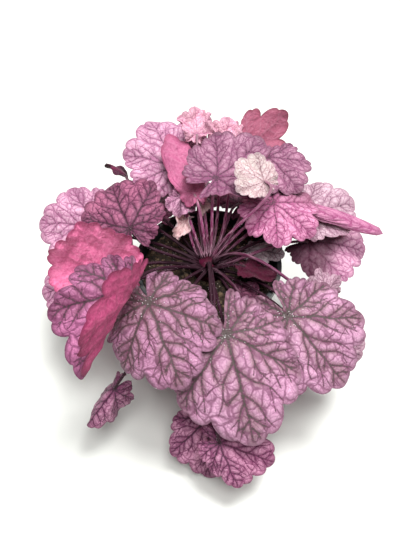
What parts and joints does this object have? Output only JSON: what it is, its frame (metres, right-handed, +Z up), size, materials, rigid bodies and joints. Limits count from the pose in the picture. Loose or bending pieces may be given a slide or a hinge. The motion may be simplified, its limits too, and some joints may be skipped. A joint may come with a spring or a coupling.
{
  "type": "heuchera plant",
  "caption": "Potted heuchera with broad lobed pink leaves, dark veins and magenta undersides, spreading from one crown over a round black nursery pot.",
  "frame": {"origin": "centre of the pot's flat underside", "axes": "+Z up through the crown; -Y is the side where the stalks show and the longest leaves hang; +X is to the right seen from there"},
  "size_m": [0.3119, 0.3111, 0.1998],
  "materials": {
    "pot": "black moulded plastic, faint sheen",
    "soil": "damp peat and bark potting mix, rough",
    "crown": "dark magenta root crown, rough",
    "leaf_front_middle": "pink blade with dark branching veins, satin",
    "leaf_front_left": "pink blade with dark branching veins, satin",
    "leaf_front_right": "pink blade with dark branching veins, satin",
    "leaf_front_under": "dark purple blade, satin",
    "leaf_right_under": "pale pink blade with dark veins, satin",
    "leaf_skirt_middle": "greyish pink blade with dark veins, satin",
    "leaf_skirt_right": "greyish pink blade with dark veins, satin",
    "leaf_skirt_left": "greyish pink blade with dark veins, satin",
    "leaf_left_folded": "magenta underside with raised veins, satin",
    "leaf_left_upturned": "magenta underside with raised veins, satin",
    "leaf_left_low": "pale pink blade with dark veins, satin",
    "leaf_left_outer": "pink blade with dark branching veins, satin",
    "leaf_left_back": "greyish pink blade with dark veins, satin",
    "leaf_left_curled": "dark purple blade, satin",
    "leaf_back_left": "pink blade with dark branching veins, satin",
    "leaf_back_left_upturned": "magenta underside with raised veins, satin",
    "leaf_young_back_left": "pale pink blade with dark veins, satin",
    "leaf_young_back_right": "pale pink blade with dark veins, satin",
    "leaf_back_right_upturned": "magenta underside with raised veins, satin",
    "leaf_back_middle": "greyish pink blade with dark veins, satin",
    "leaf_pale_curled": "pale pink blade with dark veins, satin",
    "leaf_back_right": "pink blade with dark branching veins, satin",
    "leaf_back_low_left": "greyish pink blade with dark veins, satin",
    "leaf_back_low": "greyish pink blade with dark veins, satin",
    "leaf_back_low_right": "greyish pink blade with dark veins, satin",
    "leaf_right_folded": "pink blade with dark branching veins, satin",
    "leaf_right_closed": "pale pink blade with dark veins, satin",
    "leaf_right_back": "greyish pink blade with dark veins, satin",
    "leaf_right_outer": "pink blade with dark branching veins, satin",
    "leaf_hairy_small": "greyish pink blade with dark veins, satin",
    "leaf_inner_dark": "dark purple blade, satin",
    "leaf_inner_grey": "greyish pink blade with dark veins, satin",
    "leaf_young_purple": "pink blade with dark branching veins, satin",
    "leaf_bud_left": "pale pink blade with dark veins, satin",
    "leaf_bud_right": "pale pink blade with dark veins, satin",
    "leaf_right_crumpled": "pink blade with dark branching veins, satin"
  },
  "bodies": {
    "root": {"pot": "pot", "soil": "soil", "crown": "crown", "leaf_front_middle": "leaf_front_middle", "leaf_front_left": "leaf_front_left", "leaf_front_right": "leaf_front_right", "leaf_front_under": "leaf_front_under", "leaf_right_under": "leaf_right_under", "leaf_skirt_middle": "leaf_skirt_middle", "leaf_skirt_right": "leaf_skirt_right", "leaf_skirt_left": "leaf_skirt_left", "leaf_left_folded": "leaf_left_folded", "leaf_left_upturned": "leaf_left_upturned", "leaf_left_low": "leaf_left_low", "leaf_left_outer": "leaf_left_outer", "leaf_left_back": "leaf_left_back", "leaf_left_curled": "leaf_left_curled", "leaf_back_left": "leaf_back_left", "leaf_back_left_upturned": "leaf_back_left_upturned", "leaf_young_back_left": "leaf_young_back_left", "leaf_young_back_right": "leaf_young_back_right", "leaf_back_right_upturned": "leaf_back_right_upturned", "leaf_back_middle": "leaf_back_middle", "leaf_pale_curled": "leaf_pale_curled", "leaf_back_right": "leaf_back_right", "leaf_back_low_left": "leaf_back_low_left", "leaf_back_low": "leaf_back_low", "leaf_back_low_right": "leaf_back_low_right", "leaf_right_folded": "leaf_right_folded", "leaf_right_closed": "leaf_right_closed", "leaf_right_back": "leaf_right_back", "leaf_right_outer": "leaf_right_outer", "leaf_hairy_small": "leaf_hairy_small", "leaf_inner_dark": "leaf_inner_dark", "leaf_inner_grey": "leaf_inner_grey", "leaf_young_purple": "leaf_young_purple", "leaf_bud_left": "leaf_bud_left", "leaf_bud_right": "leaf_bud_right", "leaf_right_crumpled": "leaf_right_crumpled"}
  },
  "joints": []
}
